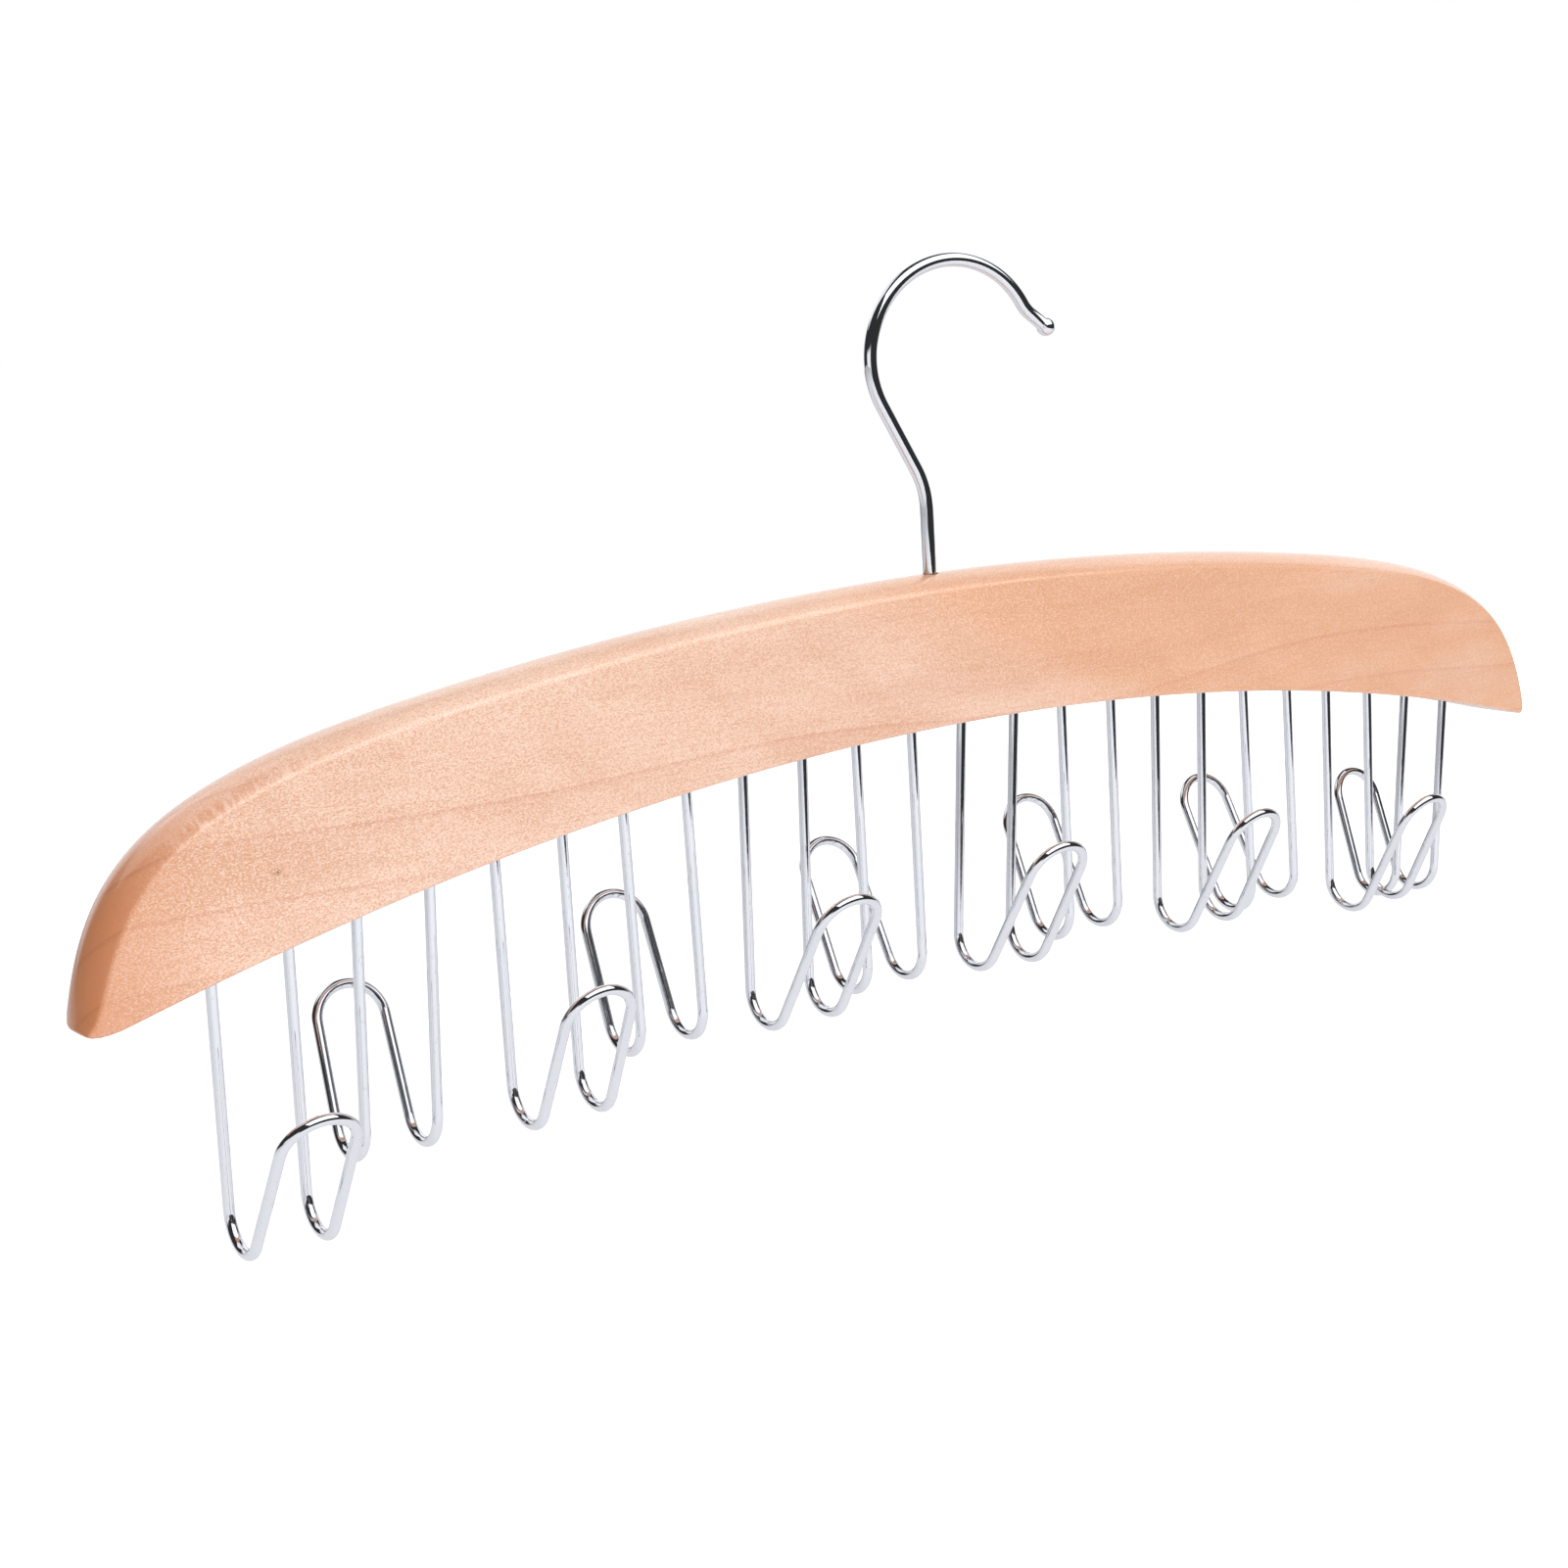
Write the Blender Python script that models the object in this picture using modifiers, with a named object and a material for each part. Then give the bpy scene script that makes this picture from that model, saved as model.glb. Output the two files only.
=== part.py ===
"""Belt hanger: an arched wooden bar on a free-turning wire hook, with twelve wire belt hooks below it.

The origin is the seat of the wardrobe rod, at the inside top of the swivel hook. X runs along the
bar, -Y is the front, Z is up, and every length is in metres.
"""

import math

import bmesh
import bpy
import numpy as np

# Wooden bar: two flat faces under a crowned top that also rounds the ends
BAR_LENGTH = 0.441
BAR_DEPTH = 0.0334
BAR_THICKNESS = 0.018
CROWN_HEIGHT = 0.0035
TOP_RADIUS = 0.950
UNDERSIDE_RADIUS = 0.818
SHOULDER_LENGTH = 0.0805
END_LEAN = math.radians(11)
SHOULDER_HANDLE_SHARE = 0.78
END_HANDLE_SHARE = 0.58
EDGE_ROUND = 0.0012

# Swivel hook: wire with a ball formed on its tip, turned a little towards the front
HOOK_WIRE = 0.0034
HOOK_RADIUS = 0.023
HOOK_OFFSET = 0.0095
HOOK_STAND = 0.0523
HOOK_TURN = math.radians(-10)
NECK_ANGLE = math.radians(28)
NECK_RADIUS = 0.022
TIP_ANGLE = math.radians(30)
TIP_FLARE_RADIUS = 0.009
TIP_FLARE_ANGLE = math.radians(22)
TIP_LENGTH = 0.0055
TIP_BALL = 0.0046

# Swivel bearing: washer and nut on the shank, sunk in the bar's underside
SHANK_CLEARANCE = 0.0004
WASHER_DIAMETER = 0.010
WASHER_THICKNESS = 0.001
WASHER_CLEARANCE = 0.0005
NUT_WIDTH = 0.0065
NUT_HEIGHT = 0.003
SHANK_END = 0.001
NUT_RECESS = 0.0015

# Belt hooks: bent wire, both legs pressed into blind holes, tongues to the front and back in turn.
# Each is bent and pressed in a little differently, by the amounts in the three lists
HOOK_PITCH = 0.03364
BELT_WIRE = 0.0025
LEG_SPACING = 0.0174
LEG_DROP = 0.0629
DROP_LINE_RADIUS = 1.040
LEG_GRIP = 0.015
LEG_SEAT_SHARES = (0.8, 1, 0.86, 1, 1, 0.81, 0.94, 0.89, 0.91, 0.87, 0.9, 0.97)
LEAST_END_MARGIN = 0.026
BEND_RADIUS = 0.0075
TONGUE_RISE = 0.0336
ARCH_WIDTH = 0.0165
TONGUE_TILTS = [math.radians(a) for a in (32.5, 23, 27, 20, 31, 26, 29, 23.5, 29, 25.5, 28, 22.5)]
SIDEWAYS_LEANS = [math.radians(a) for a in (1.8, 3.5, 0.5, -0.5, 1.9, 0, 4.3, -0.4, 1.1, -1.9, -0.7, 4.6)]

# Gap kept between neighbouring solids, and how far a cutter runs past what it cuts
FIT_GAP = 0.0003
CUT_OVERRUN = 0.006

# Fineness of the round shapes
CROWN_ROWS = 7
TOP_STEPS = 18
SHOULDER_STEPS = 12
UNDERSIDE_STEPS = 30
BEND_STEPS = 10
ARCH_STEPS = 10
HOOK_STEPS = 26
BALL_STEPS = 8
ROUND_SIDES = 24

# Places that follow from the sizes
ARC_HEIGHT = HOOK_WIRE / 2 - HOOK_RADIUS
RIDGE_HEIGHT = ARC_HEIGHT - HOOK_STAND
FACE_TOP = RIDGE_HEIGHT - CROWN_HEIGHT
UNDERSIDE_TOP = FACE_TOP - BAR_DEPTH
AXIS = np.array([-HOOK_OFFSET * math.cos(HOOK_TURN), -HOOK_OFFSET * math.sin(HOOK_TURN), 0])
HOOK_ROOM = BAR_LENGTH - 2 * LEAST_END_MARGIN - LEG_SPACING + HOOK_PITCH
BELT_HOOKS = 2 * int(HOOK_ROOM / (2 * HOOK_PITCH))
SINK_DEPTH = NUT_RECESS + SHANK_END + NUT_HEIGHT + WASHER_THICKNESS + 2 * FIT_GAP
NUT_BOTTOM = UNDERSIDE_TOP + NUT_RECESS + SHANK_END
WASHER_BOTTOM = NUT_BOTTOM + NUT_HEIGHT + FIT_GAP


def clear_scene():
    """Removes whatever the scene starts with."""
    for obj in list(bpy.data.objects):
        bpy.data.objects.remove(obj)


def new_collection(name, shown=True):
    """Adds a collection to the scene; a hidden one holds the cutters."""
    group = bpy.data.collections.new(name)
    group.hide_render = not shown
    bpy.context.scene.collection.children.link(group)
    return group


def new_material(name, colour, roughness, metallic):
    """Makes a plain finish: base colour in linear values, roughness and metallic."""
    finish = bpy.data.materials.new(name)
    finish.use_nodes = True
    shader = finish.node_tree.nodes["Principled BSDF"]
    shader.inputs["Base Color"].default_value = (*colour, 1)
    shader.inputs["Roughness"].default_value = roughness
    shader.inputs["Metallic"].default_value = metallic
    return finish


def place(name, data, group, finish=None, parent=None, at=(0, 0, 0), turn=(0, 0, 0)):
    """Puts mesh or curve data in the scene as one named object."""
    obj = bpy.data.objects.new(name, data)
    group.objects.link(obj)
    obj.location = at
    obj.rotation_euler = turn
    obj.parent = parent
    if finish:
        data.materials.append(finish)
    return obj


def new_pivot(name, at, group):
    """Adds the empty that carries the pieces of one moving body."""
    return place(name, None, group, at=at)


def arc(centre, radius, start, end, steps):
    """Points of a circle's arc in a plane, from one angle to another."""
    angles = np.linspace(start, end, steps + 1)
    return np.stack([centre[0] + radius * np.cos(angles), centre[1] + radius * np.sin(angles)], axis=1)


def heading(angle):
    """Unit direction in a plane."""
    return np.array([math.cos(angle), math.sin(angle)])


def wire_curve(name, points, diameter, sides_level, swell=None):
    """A round wire along a row of points; swell scales its radius at each of them."""
    data = bpy.data.curves.new(name, "CURVE")
    data.dimensions = "3D"
    data.bevel_depth = diameter / 2
    data.bevel_resolution = sides_level
    data.use_fill_caps = True
    spline = data.splines.new("POLY")
    spline.points.add(len(points) - 1)
    for index, point in enumerate(points):
        spline.points[index].co = (*point, 1)
        if swell is not None:
            spline.points[index].radius = swell[index]
    spline.use_smooth = True
    return data


def cylinder_mesh(name, radius, bottom, top, sides=ROUND_SIDES, across=0.0, mesh=None):
    """An upright cylinder or prism; with mesh given, it is added to that one."""
    mesh = mesh or bpy.data.meshes.new(name)
    shape = bmesh.new()
    shape.from_mesh(mesh)
    made = bmesh.ops.create_cone(shape, cap_ends=True, segments=sides, radius1=radius, radius2=radius,
                                 depth=top - bottom)
    bmesh.ops.translate(shape, verts=made["verts"], vec=(across, 0, (top + bottom) / 2))
    shape.to_mesh(mesh)
    shape.free()
    return mesh


def cut(obj, cutter):
    """Takes the cutter's shape out of the object."""
    cutter.display_type = "WIRE"
    cutter.hide_render = True
    modifier = obj.modifiers.new(cutter.name, "BOOLEAN")
    modifier.operation = "DIFFERENCE"
    modifier.object = cutter


def shade_round(obj):
    """Shades a round piece smooth and keeps its edges crisp."""
    obj.data.shade_smooth()
    obj.data.set_sharp_from_angle(angle=math.radians(40))


def sag(radius, x):
    """How far an arc lies below its middle, at a distance to the side of it."""
    return radius - np.sqrt(radius ** 2 - np.square(x))


def underside(x):
    """Height of the bar's underside at a distance along the bar from its middle."""
    return UNDERSIDE_TOP - sag(UNDERSIDE_RADIUS, x)


def shoulder_points():
    """The right shoulder of the flat face, one smooth curve from the top arc to the end's lower corner."""
    start_x = BAR_LENGTH / 2 - SHOULDER_LENGTH
    slope = math.asin(start_x / TOP_RADIUS)
    start = np.array([start_x, FACE_TOP - sag(TOP_RADIUS, start_x)])
    end = np.array([BAR_LENGTH / 2, underside(BAR_LENGTH / 2)])
    out = start + SHOULDER_HANDLE_SHARE * SHOULDER_LENGTH * heading(-slope)
    back = end + END_HANDLE_SHARE * (start[1] - end[1]) * heading(math.pi / 2 + END_LEAN)
    t = np.linspace(0, 1, SHOULDER_STEPS + 1)[:, None]
    return (1 - t) ** 3 * start + 3 * t * (1 - t) ** 2 * out + 3 * t ** 2 * (1 - t) * back + t ** 3 * end


def face_line():
    """The flat face's upper edge, from its left lower corner over the top to its right one."""
    right = shoulder_points()
    reach = math.asin(right[0][0] / TOP_RADIUS)
    top = arc((0, FACE_TOP - TOP_RADIUS), TOP_RADIUS, math.pi / 2 + reach, math.pi / 2 - reach, TOP_STEPS)
    left = right[::-1] * (-1, 1)
    return np.vstack([left, top[1:-1], right])


def bar_mesh():
    """Lofts the bar across its thickness: each row is the face's edge, pushed out by the crown there."""
    edge = face_line()
    along = np.gradient(edge, axis=0)
    outward = np.stack([-along[:, 1], along[:, 0]], axis=1)
    outward /= np.linalg.norm(outward, axis=1)[:, None]
    crown_radius = ((BAR_THICKNESS / 2) ** 2 + CROWN_HEIGHT ** 2) / (2 * CROWN_HEIGHT)
    shape = bmesh.new()
    rows = []
    for y in np.linspace(-BAR_THICKNESS / 2, BAR_THICKNESS / 2, CROWN_ROWS):
        crown = CROWN_HEIGHT - crown_radius + math.sqrt(crown_radius ** 2 - y ** 2)
        upper = edge + crown * outward
        upper[[0, -1], 1] = underside(upper[[0, -1], 0])
        below = np.linspace(upper[-1, 0], upper[0, 0], UNDERSIDE_STEPS + 1)[1:-1]
        ring = np.vstack([upper, np.stack([below, underside(below)], axis=1)])
        rows.append([shape.verts.new((x, y, z)) for x, z in ring])
    for near, far in zip(rows, rows[1:]):
        for i in range(len(near)):
            j = (i + 1) % len(near)
            shape.faces.new((near[i], near[j], far[j], far[i]))
    shape.faces.new(rows[0])
    shape.faces.new(rows[-1])
    bmesh.ops.recalc_face_normals(shape, faces=shape.faces)
    mesh = bpy.data.meshes.new("hanger_bar")
    shape.to_mesh(mesh)
    shape.free()
    return mesh


def belt_hook_points(tilt, low, seat):
    """One belt hook's wire: down the left leg, round the bend, over the tongue's arch and back.

    Its own origin is midway between the legs at the bar's underside, and the tongue is at -Y.
    The bends' lowest points are at the height low, and the legs reach up into the bar by seat.
    """
    side = arc((BEND_RADIUS, low + BEND_RADIUS), BEND_RADIUS, math.pi, 2 * math.pi - tilt, BEND_STEPS)
    slope = heading(math.pi / 2 - tilt)
    slant = (low + TONGUE_RISE - side[-1, 1]) / slope[1]
    half = [(-LEG_SPACING / 2, 0, seat)]
    half += [(-LEG_SPACING / 2, -y, z) for y, z in side]
    arch = []
    for x, up in arc((0, slant - ARCH_WIDTH / 2), ARCH_WIDTH / 2, math.pi, 0, ARCH_STEPS):
        y, z = side[-1] + up * slope
        arch.append((x, -y, z))
    return half + arch + [(-x, y, z) for x, y, z in half[::-1]]


def swivel_hook_points():
    """The swivel hook's wire in its own plane, from the shank's lower end to the ball's middle."""
    centre = np.array([HOOK_OFFSET, ARC_HEIGHT])
    start = math.pi + NECK_ANGLE
    bow = arc(centre, HOOK_RADIUS, start, TIP_ANGLE, HOOK_STEPS)
    corner = bow[0, 1] + bow[0, 0] / math.tan(NECK_ANGLE)
    reach = NECK_RADIUS * math.tan(NECK_ANGLE / 2)
    neck = arc((-NECK_RADIUS, corner - reach), NECK_RADIUS, 0, NECK_ANGLE, BEND_STEPS)
    turn = TIP_ANGLE - math.pi / 2
    hub = bow[-1] + TIP_FLARE_RADIUS * heading(turn + math.pi / 2)
    flare = arc(hub, TIP_FLARE_RADIUS, turn - math.pi / 2, turn - math.pi / 2 + TIP_FLARE_ANGLE, BEND_STEPS // 2)
    tip = flare[-1] + TIP_LENGTH * heading(turn + TIP_FLARE_ANGLE)
    return np.vstack([[(0, NUT_BOTTOM - SHANK_END)], neck, bow, flare[1:], [tip]])


def with_ball(points):
    """Swells the wire's end into its ball: returns the points and each one's share of the wire's radius."""
    ball, wire = TIP_BALL / 2, HOOK_WIRE / 2
    tip = points[-1]
    along = (tip - points[-2]) / np.linalg.norm(tip - points[-2])
    neck = math.sqrt(ball ** 2 - wire ** 2)
    angles = np.linspace(math.pi - math.asin(wire / ball), 0, BALL_STEPS + 1)
    ball_points = [tip + ball * math.cos(a) * along for a in angles]
    swell = [math.sin(a) * ball / wire for a in angles[:-1]] + [FIT_GAP / ball]
    straight = [tip - (neck + FIT_GAP) * along]
    return np.vstack([points[:-1], straight, ball_points]), [1] * len(points) + swell


def build_swivel(parts, cutters, chrome, steel):
    """The hook, and the washer and nut that the bar hangs and turns on."""
    pivot = new_pivot("hook_axis", AXIS, parts)
    points, swell = with_ball(swivel_hook_points())
    wire = wire_curve("swivel_hook", [(x, 0, z) for x, z in points], HOOK_WIRE, 3, swell)
    place("swivel_hook", wire, parts, chrome, pivot, turn=(0, 0, HOOK_TURN))
    bore = HOOK_WIRE / 2 + FIT_GAP
    bore_mesh = cylinder_mesh("nut_bore", bore, NUT_BOTTOM - CUT_OVERRUN, WASHER_BOTTOM + CUT_OVERRUN)
    bore_cutter = place("nut_bore", bore_mesh, cutters, parent=pivot)
    washer_mesh = cylinder_mesh("swivel_washer", WASHER_DIAMETER / 2, WASHER_BOTTOM,
                                WASHER_BOTTOM + WASHER_THICKNESS)
    washer = place("swivel_washer", washer_mesh, parts, steel, pivot)
    corner_radius = NUT_WIDTH / 2 / math.cos(math.pi / 6)
    nut_mesh = cylinder_mesh("swivel_nut", corner_radius, NUT_BOTTOM, NUT_BOTTOM + NUT_HEIGHT, sides=6)
    nut = place("swivel_nut", nut_mesh, parts, steel, pivot)
    for piece in (washer, nut):
        cut(piece, bore_cutter)
        shade_round(piece)


def build_bar(parts, cutters, wood, pivot):
    """The bar, with its rounded edges and the bore and sink for the swivel."""
    bar = place("hanger_bar", bar_mesh(), parts, wood, pivot)
    rounding = bar.modifiers.new("edge_round", "BEVEL")
    rounding.width = EDGE_ROUND
    rounding.segments = 2
    rounding.limit_method = "ANGLE"
    rounding.angle_limit = math.radians(30)
    shank_mesh = cylinder_mesh("shank_bore", HOOK_WIRE / 2 + SHANK_CLEARANCE, UNDERSIDE_TOP - CUT_OVERRUN,
                               RIDGE_HEIGHT + CUT_OVERRUN)
    cut(bar, place("shank_bore", shank_mesh, cutters, parent=pivot))
    sink_mesh = cylinder_mesh("swivel_sink", WASHER_DIAMETER / 2 + WASHER_CLEARANCE,
                              UNDERSIDE_TOP - CUT_OVERRUN, UNDERSIDE_TOP + SINK_DEPTH)
    cut(bar, place("swivel_sink", sink_mesh, cutters, parent=pivot))
    shade_round(bar)
    return bar


def build_belt_hooks(parts, cutters, chrome, pivot, bar):
    """The belt hooks and the blind holes that hold their legs."""
    for index in range(BELT_HOOKS):
        name = f"belt_hook_{index + 1:02d}"
        to_back = index % 2
        x = (index - (BELT_HOOKS - 1) / 2) * HOOK_PITCH
        lean = SIDEWAYS_LEANS[index % len(SIDEWAYS_LEANS)]
        tilt = TONGUE_TILTS[index % len(TONGUE_TILTS)]
        turn = (0, -lean if to_back else lean, math.pi * to_back)
        seat = LEG_SEAT_SHARES[index % len(LEG_SEAT_SHARES)] * LEG_GRIP
        at = (x, 0, underside(x))
        low = sag(UNDERSIDE_RADIUS, x) - sag(DROP_LINE_RADIUS, x) - LEG_DROP - (LEG_GRIP - seat)
        wire = wire_curve(name, belt_hook_points(tilt, low, seat), BELT_WIRE, 2)
        place(name, wire, parts, chrome, pivot, at, turn)
        holes = bpy.data.meshes.new(f"leg_holes_{index + 1:02d}")
        for side in (-1, 1):
            cylinder_mesh(holes.name, BELT_WIRE / 2 + FIT_GAP, -CUT_OVERRUN, LEG_GRIP + FIT_GAP,
                          ROUND_SIDES // 2, side * LEG_SPACING / 2, holes)
        cut(bar, place(holes.name, holes, cutters, None, pivot, at, turn))


def main():
    """Builds the hanger."""
    clear_scene()
    parts = new_collection("belt_hanger")
    cutters = new_collection("cutters", shown=False)
    wood = new_material("lacquered_maple", (0.80, 0.50, 0.32), 0.35, 0)
    chrome = new_material("chrome_plated_wire", (0.85, 0.86, 0.88), 0.08, 1)
    steel = new_material("zinc_plated_steel", (0.60, 0.60, 0.58), 0.3, 1)
    build_swivel(parts, cutters, chrome, steel)
    pivot = new_pivot("bar_axis", AXIS, parts)
    bar = build_bar(parts, cutters, wood, pivot)
    build_belt_hooks(parts, cutters, chrome, pivot, bar)


main()
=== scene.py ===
"""Belt hanger: an arched maple bar on a free-turning chromed hook, with twelve chromed belt hooks under it.

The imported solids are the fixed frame. Each piece here is a finer one that stands for its solid, in the
same place and at the same size: metres, X along the bar, -Y to the front, Z up, and the origin at the
inside top of the swivel hook.
"""

import logging
import math
from dataclasses import dataclass
from enum import Enum
from typing import Callable, Sequence

import bmesh
import bpy
import numpy as np
from mathutils import Matrix, Vector


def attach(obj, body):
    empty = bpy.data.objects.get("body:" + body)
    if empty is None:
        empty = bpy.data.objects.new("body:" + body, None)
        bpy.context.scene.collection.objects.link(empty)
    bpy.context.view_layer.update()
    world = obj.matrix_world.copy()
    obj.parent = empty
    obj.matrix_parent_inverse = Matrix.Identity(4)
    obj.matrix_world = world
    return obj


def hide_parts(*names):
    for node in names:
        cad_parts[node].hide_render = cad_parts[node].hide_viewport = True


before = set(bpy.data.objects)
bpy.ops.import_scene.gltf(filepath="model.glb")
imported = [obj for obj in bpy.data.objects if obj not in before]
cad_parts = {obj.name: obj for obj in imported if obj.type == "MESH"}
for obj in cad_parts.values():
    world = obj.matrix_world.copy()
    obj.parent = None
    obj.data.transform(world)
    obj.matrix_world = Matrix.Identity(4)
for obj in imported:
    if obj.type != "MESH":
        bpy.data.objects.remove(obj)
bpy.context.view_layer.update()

LOG = logging.getLogger("belt_hanger")
MM = 0.001
MERGE = 0.01 * MM

Point = Sequence[float]
Span = Sequence[float]
Socket = bpy.types.NodeSocket


class Body(Enum):
    """The bodies that a piece can ride on."""

    HOOK = "hook"
    BAR = "bar"


class Slot(Enum):
    """The record's material slots."""

    WOOD = "lacquered_maple"
    CHROME = "chrome_plated_wire"
    ZINC = "zinc_plated_steel"


def linear(shade: str) -> tuple[float, float, float, float]:
    """Turns an sRGB hex colour to linear.

    Args:
        shade: the colour as six hex digits.

    Returns:
        Red, green and blue in linear values, and an alpha of 1.
    """
    parts = [int(shade[i:i + 2], 16) / 255 for i in (0, 2, 4)]
    red, green, blue = (c / 12.92 if c <= 0.04045 else ((c + 0.055) / 1.055) ** 2.4 for c in parts)
    return red, green, blue, 1.0


class Nodes:
    """A node tree under construction."""

    def __init__(self, tree: bpy.types.NodeTree) -> None:
        """Takes the tree that the nodes go into."""
        self.tree = tree

    def add(self, kind: str, *inputs: Socket | float | Sequence[float] | None, **settings: object) -> Socket:
        """Adds one node with its settings, values and links.

        Args:
            kind: the node's type name, without ShaderNode before it.
            inputs: for each input in use, in order, the output that feeds it, its value, or None to leave it.
            settings: attributes to set on the node.

        Returns:
            Its first output in use; the node that it belongs to has the others.
        """
        node = self.tree.nodes.new("ShaderNode" + kind)
        for name, value in settings.items():
            setattr(node, name, value)
        for socket, value in zip([socket for socket in node.inputs if socket.enabled], inputs):
            if isinstance(value, Socket):
                self.tree.links.new(value, socket)
            elif value is not None:
                socket.default_value = value
        return next(socket for socket in node.outputs if socket.enabled)


class Finish(Nodes):
    """A material under construction: its node tree, its shader and its object coordinates."""

    def __init__(self, name: str) -> None:
        """Starts a material with a Principled shader."""
        self.material = bpy.data.materials.new(name)
        self.material.use_nodes = True
        super().__init__(self.material.node_tree)
        self.shader = self.tree.nodes["Principled BSDF"]
        self.coords = self.add("TexCoord").node.outputs["Object"]

    def set(self, **values: float | tuple) -> None:
        """Sets numbers and colours on the shader's own sockets, with _ for a space in a socket's name."""
        for name, value in values.items():
            self.shader.inputs[name.replace("_", " ")].default_value = value

    def feed(self, name: str, source: Socket) -> None:
        """Links an output to one of the shader's sockets."""
        self.tree.links.new(source, self.shader.inputs[name])

    def grains(self, size: Point, detail: float = 2, finer: float = 0.5, tilt: float = 0.0) -> Socket:
        """Scatters grains of a real size over the piece.

        Args:
            size: a grain's length along X, Y and Z, in metres.
            detail: how many finer layers there are.
            finer: how strong the finer layers are.
            tilt: how far the grains are turned about Y, in radians.

        Returns:
            A value from 0 to 1, about a half on average.
        """
        place = self.add("Mapping", self.coords, None, (0, tilt, 0), size, vector_type="TEXTURE")
        return self.add("TexNoise", place, 1.0, detail, finer)


@dataclass(frozen=True)
class LacqueredMaple:
    """Maple, planed and sanded, under a clear satin lacquer: pale pinkish orange, tight grain, faint rings.

    A Span says between which two values a pattern shows, and then how strong it is at the first and at the
    second, or else from nothing to full. Maple's pores, fibres and fleck are under 0.1 mm wide, too fine to
    show, so they are drawn as coarse as they need to be. The lacquer gives the soft gloss over all of it.
    """

    # The pale colour also paints the patch left of the middle, which is partly a painted sheen
    pale: str = "FCD6C0"
    tan: str = "F4BA96"
    dark: str = "E0A27A"
    bright: str = "FFE6D4"
    # The end grain colour also paints the shade at the left tip
    end_grain_and_shade: str = "DA8A5A"
    ring: str = "D88263"
    knot: str = "96603A"

    plank_length: float = 160 * MM
    # The pale patch: partly a paler tone of the wood, partly a painted sheen of the lamps on the lacquer
    pale_sheen_left: Span = (-232 * MM, -186 * MM)
    pale_sheen_right: Span = (20 * MM, -22 * MM)
    pale_sheen_slant: float = 1.9
    pale_sheen_level: float = -94 * MM
    pale_sheen_wander: float = 45 * MM

    band_height: float = 14 * MM
    band_length: float = 70 * MM
    dark_bands: Span = (0.46, 0.70, 0, 0.42)
    pale_bands: Span = (0.44, 0.28, 0, 0.45)
    curl: Point = (13 * MM, 30 * MM, 40 * MM)
    curl_tilt: float = math.radians(-48)
    curl_marks: Span = (0.46, 0.72, 0, 0.20)

    ring_spacing: float = 13.5 * MM
    ring_level: float = -109.0 * MM
    ring_peak: float = 132 * MM
    ring_period: float = 202 * MM
    ring_rise: float = 3.1 * MM
    ring_calm: Span = (-200 * MM, 40 * MM)
    ring_calm_share: float = 0.1
    ring_wander: float = 0.37
    ring_slope: float = 0.8
    ring_front: Span = (0.86, 0.965)
    ring_back: Span = (0.998, 0.965)
    ring_share: float = 0.42
    ring_haze: Span = (0.30, 0.95, 0, 0.14)
    ring_breaks: Span = (0.38, 0.58, 0.65, 1)
    ring_top: Span = (-96 * MM, -104 * MM, 0.2, 1)

    fibre: Point = (8 * MM, 0.4 * MM, 0.4 * MM)
    fibre_marks: Span = (0.45, 0.75, 0, 0.30)
    fleck: Point = (0.504 * MM, 0.28 * MM, 0.28 * MM)
    fleck_calm: Span = (-200 * MM, 180 * MM, 1, 0.45)
    dark_fleck: Span = (0.50, 0.68, 0, 0.80)
    bright_fleck: Span = (0.48, 0.32, 0, 0.70)
    pore: Point = (2.6 * MM, 0.35 * MM, 0.35 * MM)
    pore_marks: Span = (0.72, 0.80, 0, 0.40)

    grain_run: Point = (0.99, 0, -0.13)
    end_cut: Span = (0.22, 0.85)
    end_share: float = 0.9
    end_line_share: float = 0.35
    # Darker towards the left tip: partly end grain, partly painted shade where less light reaches the end
    tip_grain_and_shade: Span = (-203 * MM, -234 * MM, 0, 0.60)

    chatter: Point = (0.85 * MM, 14 * MM, 1.7 * MM)
    chatter_cut: Span = (0.10, 0.30)
    chatter_depth: Span = (-5.2 * MM, -3.4 * MM, 1, 0)
    chatter_start: Span = (-216 * MM, -204 * MM)
    chatter_end: Span = (-172 * MM, -186 * MM)
    dark_chatter: Span = (0.52, 0.62, 0, 0.22)
    pale_chatter: Span = (0.50, 0.42, 0, 0.50)

    knot_place: Point = (-190 * MM, -7.35 * MM, -113.8 * MM)
    knot_form: Point = (0.6, 0.3, 1)
    knot_reach: Span = (1.0 * MM, 0.2 * MM, 0, 0.70)
    knot_spots: Span = (0.35, 0.60)

    gloss: Span = (0.3, 0.7, 0.40, 0.52)
    relief: float = 0.03 * MM

    def build(self) -> bpy.types.Material:
        """Builds the wood's colour from broad bands, growth rings, fibres, flecks and end grain, with a painted sheen
        in the pale patch and painted shade at the left tip.

        Returns:
            The material.
        """
        wood = Finish(Slot.WOOD.value)
        along, across, height = wood.add("SeparateXYZ", wood.coords).node.outputs
        wander = wood.grains((self.plank_length, self.band_height * 3, self.band_height * 4))
        coats: list[tuple[Socket, str]] = []

        # The plank is palest in a long patch left of its middle, and tan elsewhere: the patch is partly a paler tone
        # of the wood and partly a painted sheen of the lamps on the lacquer
        lean = wood.add("Math", height, self.pale_sheen_slant, -self.pale_sheen_slant * self.pale_sheen_level, operation="MULTIPLY_ADD")
        drift = wood.add("Math", wander, self.pale_sheen_wander, -self.pale_sheen_wander / 2, operation="MULTIPLY_ADD")
        place = wood.add("Math", along, wood.add("Math", lean, drift, operation="ADD"), operation="ADD")
        pale_sheen_patch = wood.add("Math", wood.add("MapRange", along, *self.pale_sheen_left),
                         wood.add("MapRange", place, *self.pale_sheen_right), operation="MULTIPLY")
        coats.append((pale_sheen_patch, self.pale))

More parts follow.
